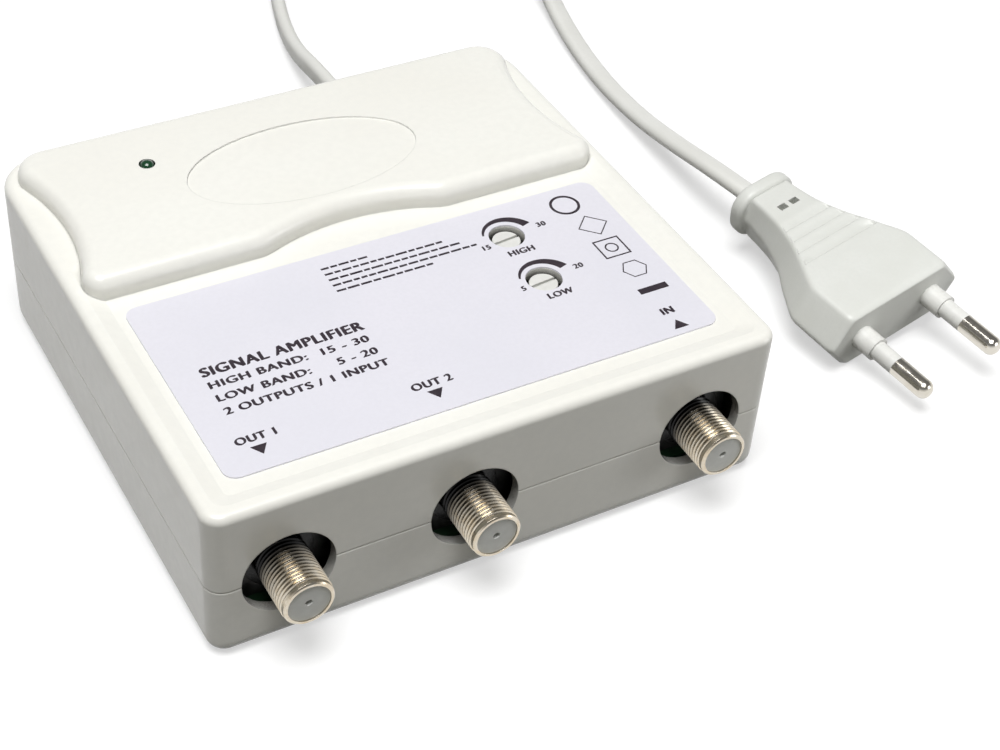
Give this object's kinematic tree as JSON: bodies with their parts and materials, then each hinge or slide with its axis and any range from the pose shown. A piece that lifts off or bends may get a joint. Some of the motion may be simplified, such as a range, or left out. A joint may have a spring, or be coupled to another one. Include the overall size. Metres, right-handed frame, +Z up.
{
  "type": "tv signal amplifier",
  "caption": "Flat white mains powered aerial signal amplifier with threaded coaxial sockets in its front edge, screwdriver gain trimmers, a pilot light and a flat cord with a two-pin plug.",
  "frame": {"origin": "on the floor, under the middle of the case with its sockets", "axes": "+Z up, -Y the way the coaxial sockets face, +X to the right seen from the sockets"},
  "size_m": [0.172, 0.2581, 0.0366],
  "materials": {
    "case_plastic": "fine satin texture",
    "label_film": "satin printed film",
    "screw_steel": "zinc plated",
    "board_laminate": "solder resist",
    "socket_nickel": "nickel plated, bright",
    "insulator_plastic": "moulded",
    "contact_bronze": "bright",
    "tin_plate": "tinned sheet",
    "trimmer_plastic": "moulded",
    "shaft_plastic": "moulded",
    "led_resin": "tinted clear resin",
    "black_plastic": "moulded",
    "lead_wire": "tinned wire",
    "ferrite": "sintered",
    "winding_tape": "taped winding",
    "capacitor_sleeve": "shrunk sleeve",
    "resistor_coating": "coated",
    "disc_coating": "dipped",
    "copper_wire": "enamelled",
    "chip_ceramic": "fired",
    "cord_sheath": "soft satin",
    "tie_plastic": "moulded",
    "plug_plastic": "soft satin",
    "sleeve_plastic": "moulded",
    "pin_nickel": "nickel plated, bright",
    "wire_insulation": "extruded"
  },
  "bodies": {
    "case": {"bottom_case": "case_plastic", "top_cover": "case_plastic", "label_plate": "label_film", "case_screws": "screw_steel", "board_screws": "screw_steel", "circuit_board": "board_laminate", "output_1_connector": "socket_nickel", "output_1_insulator": "insulator_plastic", "output_1_contact": "contact_bronze", "output_2_connector": "socket_nickel", "output_2_insulator": "insulator_plastic", "output_2_contact": "contact_bronze", "input_connector": "socket_nickel", "input_insulator": "insulator_plastic", "input_contact": "contact_bronze", "shield_frame": "tin_plate", "shield_partition": "tin_plate", "shield_lid": "tin_plate", "high_band_trimmer_body": "trimmer_plastic", "low_band_trimmer_body": "trimmer_plastic", "led_lens": "led_resin", "led_spacer": "black_plastic", "led_leads": "lead_wire", "transformer_core": "ferrite", "transformer_bobbin": "black_plastic", "transformer_winding": "winding_tape", "bulk_capacitor": "capacitor_sleeve", "output_capacitors": "capacitor_sleeve", "fuse_resistor": "resistor_coating", "rectifier_diodes": "black_plastic", "input_choke": "ferrite", "power_chip": "black_plastic", "optocoupler": "black_plastic", "safety_capacitor": "disc_coating", "transistors": "black_plastic", "ferrite_cores": "ferrite", "air_coils": "copper_wire", "chip_components": "chip_ceramic", "strain_relief": "cord_sheath", "cord_inner_end": "cord_sheath", "cord_clamp": "black_plastic", "clamp_screws": "screw_steel", "mains_wires": "wire_insulation", "cord_lead_rear": "cord_sheath", "cord_coil": "cord_sheath", "cord_ties": "tie_plastic", "cord_lead_plug": "cord_sheath", "plug_body": "plug_plastic", "pin_sleeves": "sleeve_plastic", "plug_pins": "pin_nickel"},
    "high_band_trimmer": {"high_band_trimmer_shaft": "shaft_plastic"},
    "low_band_trimmer": {"low_band_trimmer_shaft": "shaft_plastic"}
  },
  "joints": [
    {"name": "high_band_trimmer_turn", "type": "hinge", "parent": "case", "child": "high_band_trimmer", "pos_m": [0.0247, -0.00265, 0.02], "axis": [0, 0, 1], "range_deg": [-27.5, 207.5]},
    {"name": "low_band_trimmer_turn", "type": "hinge", "parent": "case", "child": "low_band_trimmer", "pos_m": [0.0247, -0.01665, 0.02], "axis": [0, 0, 1], "range_deg": [-27.5, 207.5]}
  ]
}
